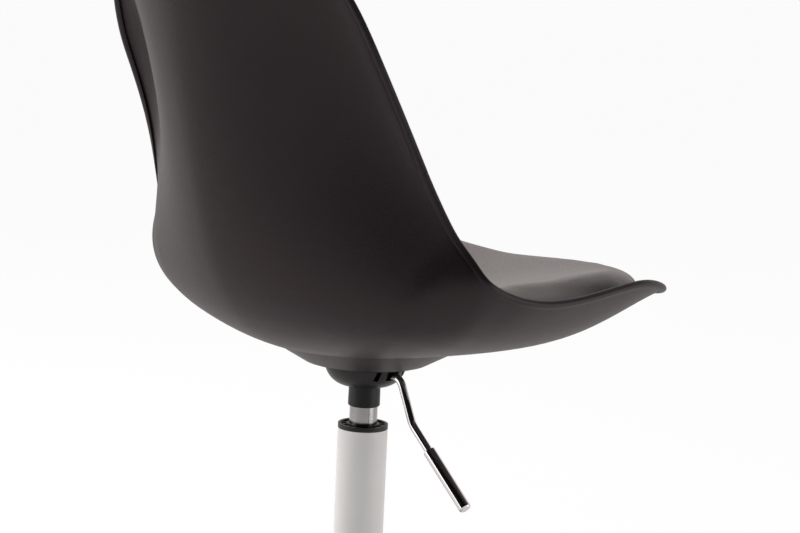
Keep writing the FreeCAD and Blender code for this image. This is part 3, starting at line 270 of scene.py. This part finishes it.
def make_surround():
    """White surround behind the chair that falls off to a dark room on the camera's side."""
    world = bpy.data.worlds.new("studio")
    bpy.context.scene.world = world
    graph = Graph(world)
    direction = graph.node("TexCoord", {}, {}, "Generated")
    ahead = graph.along(direction, LOOK_LEVEL)
    lit = graph.ranged(ahead, *LIT_SPAN, DARK_SIDE, BRIGHT_SIDE, "SMOOTHSTEP")
    height = graph.along(direction, UP)
    mirrored = graph.ranged(ahead, *MIRRORED_SPAN, MIRRORED_DARK, 1, "SMOOTHSTEP")
    mirrored = mirrored * graph.ranged(height, *CEILING_SPAN, 1, MIRRORED_CEILING, "SMOOTHSTEP")
    glossy = graph.ray("Glossy")
    seen = graph.ray("Camera").or_else(graph.ray("Transmission"))
    strength = seen + glossy * mirrored + (1 - seen - glossy) * lit
    tint = graph.mixed(glossy, WHITE, WARM_WHITE)
    graph.feed(graph.tree.nodes["Background"], {"Color": tint, "Strength": strength})


def make_floor():
    """A wide floor, white to the camera, that keeps the chair's shadow; in reflections its glow has painted
    shade on the near side and a painted shadow under the chair.
    """
    mesh = bpy.data.meshes.new("studio_floor")
    shape = bmesh.new()
    bmesh.ops.create_circle(shape, cap_ends=True, segments=FLOOR_SEGMENTS, radius=FLOOR_RADIUS)
    shape.to_mesh(mesh)
    shape.free()
    floor = bpy.data.objects.new("studio_floor", mesh)
    bpy.context.scene.collection.objects.link(floor)
    paint = Paint("studio_floor", Base_Color=FLOOR_COLOUR, Roughness=FLOOR_ROUGHNESS)
    away = paint.node("VectorMath", {"operation": "LENGTH"}, {0: paint.place}, "Value")
    # Painted shade: in reflections the floor's glow is darker on the camera's side
    mirrored = paint.ranged(paint.along(paint.place, LOOK_LEVEL), *FLOOR_PAINTED_SHADE_SPAN, FLOOR_NEAR, FLOOR_FAR)
    # Painted shadow: in reflections the floor's glow is darker under the chair
    mirrored = mirrored * paint.ranged(away, *FLOOR_PAINTED_SHADOW_SPAN, FLOOR_PAINTED_SHADOW, 1)
    seen = paint.ray("Camera").or_else(paint.ray("Transmission")).or_else(paint.ray("Glossy") * mirrored)
    glow = paint.node("Emission", {}, {"Color": paint.mixed(paint.ray("Glossy"), WHITE, WARM_WHITE)})
    matt = Value(paint, paint.surface.outputs["BSDF"])
    blend = paint.node("MixShader", {}, {0: seen * FLOOR_GLOW, 1: matt, 2: glow})
    paint.feed(paint.tree.nodes["Material Output"], {"Surface": blend})
    mesh.materials.append(paint.material)


# Finishes

# Where most of a noise's values lie
NOISE_SPAN = (0.3, 0.7)

# How many times lighter the light patches of dark plastic are
PATCH_LIFT = 1.35


def shell_plastic():
    """Charcoal moulded plastic with a fine spark-eroded grain."""
    paint = Paint("shell_plastic", Specular_IOR_Level=0.36, Specular_Tint=(1, 0.82, 0.87, 1))
    dark, light = (0.0052, 0.0039, 0.0043), (0.0090, 0.0069, 0.0076)
    grain = paint.noise(950, detail=3, roughness=0.6)
    pits = paint.cells(620)
    patches = paint.noise(7, detail=3)
    paint.relief(grain * 0.7 + pits * 0.5, strength=0.32, distance=0.0006)
    tone = paint.ranged(grain + patches * 0.5, 0.55, 0.95)
    return paint.finish(Base_Color=paint.mixed(tone, dark, light),
                        Roughness=paint.ranged(grain, *NOISE_SPAN, start=0.42, end=0.54))


def pad_leather():
    """Warm grey imitation leather: pebbled grain, slightly shiny on the pebbles."""
    paint = Paint("pad_leather", Specular_IOR_Level=0.9, Specular_Tint=(1, 0.95, 0.92, 1))
    dark, light = (0.092, 0.080, 0.076), (0.118, 0.103, 0.098)
    drift = paint.noise(60)
    pebbles = paint.cells(520)
    creases = paint.noise(240, detail=4, roughness=0.65)
    patches = paint.noise(5)
    paint.relief((1 - pebbles) * 0.8 + creases * 0.6, strength=0.28, distance=0.0005)
    tone = paint.ranged(patches * 0.5 + creases * 0.3 + drift * 0.2, 0.35, 0.65)
    return paint.finish(Base_Color=paint.mixed(tone, dark, light),
                        Roughness=paint.ranged(pebbles, 0, 0.7, start=0.38, end=0.54))


def black_plastic(name, colour):
    """Dark moulded plastic of the covers and bushes, with a finer grain than the shell."""
    paint = Paint(name, Specular_IOR_Level=0.32)
    grain = paint.noise(1500)
    patches = paint.noise(25)
    paint.relief(grain, strength=0.12, distance=0.0003)
    lighter = tuple(channel * PATCH_LIFT for channel in colour)
    return paint.finish(Base_Color=paint.mixed(patches, colour, lighter),
                        Roughness=paint.ranged(patches + grain * 0.5, 0.4, 1.1, start=0.36, end=0.5))


def polished_chrome():
    """Mirror chrome with faint handling haze."""
    paint = Paint("polished_chrome", Metallic=1.0)
    haze = paint.noise(40, detail=4, roughness=0.6)
    scuffs = paint.noise(900, place=paint.stretched(1, 1, 0.08))
    return paint.finish(Base_Color=paint.mixed(haze, (0.62, 0.61, 0.62), (0.72, 0.71, 0.71)),
                        Roughness=paint.ranged(haze * 0.7 + scuffs * 0.3, 0.3, 0.8, start=0.045, end=0.13))


def ground_steel(name, across, along):
    """Ground steel with fine marks, whose waves per metre across and along Z set the way they run."""
    paint = Paint(name, Metallic=1.0)
    marks = paint.noise(1, detail=3, roughness=0.7, place=paint.stretched(across, across, along))
    clouds = paint.noise(55, detail=3)
    wear = marks * 0.6 + clouds * 0.4
    paint.relief(marks, strength=0.1, distance=0.0002)
    return paint.finish(Base_Color=paint.mixed(marks, (0.23, 0.225, 0.228), (0.38, 0.375, 0.375)),
                        Roughness=paint.ranged(wear, *NOISE_SPAN, start=0.12, end=0.24))


def zinc_plate():
    """Zinc plating with a soft crystalline mottle."""
    paint = Paint("zinc_plate", Metallic=1.0)
    flakes = paint.cells(900)
    clouds = paint.noise(180, detail=3)
    return paint.finish(Base_Color=paint.mixed(flakes, (0.55, 0.55, 0.54), (0.68, 0.67, 0.63)),
                        Roughness=paint.ranged(clouds, *NOISE_SPAN, start=0.28, end=0.45))


def powder_coat(name, dark, light, smoothest, roughest):
    """Powder coat with a slight orange-peel surface."""
    paint = Paint(name, Specular_IOR_Level=0.32)
    peel = paint.noise(520, roughness=0.55)
    patches = paint.noise(9, detail=3)
    paint.relief(peel, strength=0.08, distance=0.0006)
    return paint.finish(Base_Color=paint.mixed(paint.ranged(patches, *NOISE_SPAN), dark, light),
                        Roughness=paint.ranged(peel, *NOISE_SPAN, smoothest, roughest))


def soft_rubber():
    """Black rubber with a dull bloom."""
    paint = Paint("soft_rubber")
    bloom = paint.noise(90, detail=4, roughness=0.6)
    return paint.finish(Base_Color=paint.mixed(bloom, (0.012, 0.012, 0.012), (0.03, 0.03, 0.029)),
                        Roughness=paint.ranged(bloom, *NOISE_SPAN, start=0.65, end=0.85))


def make_finishes():
    """One finish for each of the record's material slots."""
    return {
        "shell_plastic": shell_plastic(),
        "pad_cover": pad_leather(),
        "board": black_plastic("board_plastic", (0.03, 0.03, 0.03)),
        "zinc_steel": zinc_plate(),
        "black_metal": powder_coat("black_coat", (0.004, 0.004, 0.004), (0.007, 0.007, 0.007),
                                   smoothest=0.42, roughest=0.54),
        "black_plastic": black_plastic("black_plastic", (0.009, 0.008, 0.0082)),
        "chrome_lever": polished_chrome(),
        "gas_steel": ground_steel("ground_steel", across=30, along=1400),
        "seal_rubber": soft_rubber(),
        "white_metal": powder_coat("white_coat", (0.82, 0.80, 0.78), (0.86, 0.84, 0.82),
                                   smoothest=0.34, roughest=0.46),
        "glide_plastic": black_plastic("glide_plastic", (0.015, 0.015, 0.015)),
    }


def coat_nodes(frame, finishes):
    """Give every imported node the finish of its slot."""
    for part in frame["record"]["subparts"]:
        mesh = frame["nodes"][part["node"]].data
        mesh.materials.clear()
        mesh.materials.append(finishes[part["material_slot"]])


# Seat pad

# How the pad is made: mesh sizes, how far its cover starts inside the solid and how far it may swell
PAD_MERGE = 0.00005
PAD_VOXEL = 0.005
PAD_SHRINK = 0.002
PAD_SWELL_LIMIT = 0.006
PAD_PRESSURE = 4
PAD_CLOTH_QUALITY = 6
PAD_FRAMES = 20
PAD_SMOOTHING = 14

# Faces whose normal points further down than this rest on the shell
UNDERSIDE_SLOPE = -0.35

# Fuller sides of the pad: how high, and where they rise across the seat and along it
BOLSTER_RISE = 0.01
BOLSTER_ROW = 0.01
BOLSTER_ACROSS = (0.03, 0.16)
BOLSTER_EDGE = 0.045
BOLSTER_FRONT = (-0.18, -0.08)
BOLSTER_BACK = (-0.03, 0.06)
BOLSTER_FACING = 0.5


def copied_mesh(node, name):
    """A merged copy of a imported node's mesh as a new object."""
    shape = bmesh.new()
    shape.from_mesh(node.data)
    bmesh.ops.remove_doubles(shape, verts=shape.verts, dist=PAD_MERGE)
    mesh = bpy.data.meshes.new(name)
    shape.to_mesh(mesh)
    shape.free()
    piece = bpy.data.objects.new(name, mesh)
    bpy.context.scene.collection.objects.link(piece)
    return piece


def applied(piece):
    """Turn a piece's modifiers into its mesh."""
    graph = bpy.context.evaluated_depsgraph_get()
    mesh = bpy.data.meshes.new_from_object(piece.evaluated_get(graph))
    piece.modifiers.clear()
    piece.data = mesh


def swollen(piece):
    """Blow the pad up against its own cover, with its underside held, and cap how far it moves."""
    mesh = piece.data
    rest = [vert.co.copy() for vert in mesh.vertices]
    held = piece.vertex_groups.new(name="underside")
    held.add([vert.index for vert in mesh.vertices if vert.normal.z < UNDERSIDE_SLOPE], 1.0, "ADD")
    cloth = piece.modifiers.new("cover", "CLOTH")
    cloth.settings.vertex_group_mass = held.name
    cloth.settings.use_pressure = True
    cloth.settings.uniform_pressure_force = PAD_PRESSURE
    cloth.settings.effector_weights.gravity = 0
    cloth.settings.quality = PAD_CLOTH_QUALITY
    scene = bpy.context.scene
    for number in range(1, PAD_FRAMES + 1):
        scene.frame_set(number)
    applied(piece)
    scene.frame_set(1)
    for vert, start in zip(piece.data.vertices, rest):
        move = vert.co - start
        if move.length > PAD_SWELL_LIMIT:
            vert.co = start + move.normalized() * PAD_SWELL_LIMIT
    piece.vertex_groups.clear()


def eased(value, low, high):
    """0 below low, 1 above high and a smooth rise between."""
    share = min(max((value - low) / (high - low), 0), 1)
    return share * share * (3 - 2 * share)


def raise_bolsters(mesh):
    """Fuller foam along both thighs, rolling down to the pad's sides."""
    half_width = {}
    for vert in mesh.vertices:
        row = round(vert.co.y / BOLSTER_ROW)
        half_width[row] = max(half_width.get(row, 0), abs(vert.co.x))
    for vert in mesh.vertices:
        x, y, _ = vert.co
        inside = half_width[round(y / BOLSTER_ROW)] - abs(x)
        across = eased(abs(x), *BOLSTER_ACROSS) * eased(inside, 0, BOLSTER_EDGE)
        along = eased(y, *BOLSTER_FRONT) * (1 - eased(y, *BOLSTER_BACK))
        vert.co.z += BOLSTER_RISE * across * along * eased(vert.normal.z, 0, BOLSTER_FACING)


def make_seat_pad(frame, finishes):
    """Foam pad in a tight leather cover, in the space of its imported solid."""
    piece = copied_mesh(frame["nodes"]["seat_pad"], "seat_cushion")
    remesh = piece.modifiers.new("voxels", "REMESH")
    remesh.mode = "VOXEL"
    remesh.voxel_size = PAD_VOXEL
    applied(piece)
    raise_bolsters(piece.data)
    for vert in piece.data.vertices:
        if vert.normal.z > UNDERSIDE_SLOPE:
            vert.co = vert.co - vert.normal * PAD_SHRINK
    swollen(piece)
    smooth = piece.modifiers.new("even", "SMOOTH")
    smooth.iterations = PAD_SMOOTHING
    applied(piece)
    rounding = piece.modifiers.new("rounding", "SUBSURF")
    rounding.levels = rounding.render_levels = 1
    piece.data.polygons.foreach_set("use_smooth", [True] * len(piece.data.polygons))
    piece.data.materials.append(finishes["pad_cover"])
    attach(piece, "seat")
    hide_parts("seat_pad")


def build():
    """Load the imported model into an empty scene, light it and dress it."""
    for item in list(bpy.data.objects):
        bpy.data.objects.remove(item)
    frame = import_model()
    bpy.context.scene.view_settings.view_transform = "Standard"
    make_camera()
    make_surround()
    make_lamps()
    make_floor()
    finishes = make_finishes()
    coat_nodes(frame, finishes)
    make_seat_pad(frame, finishes)


build()
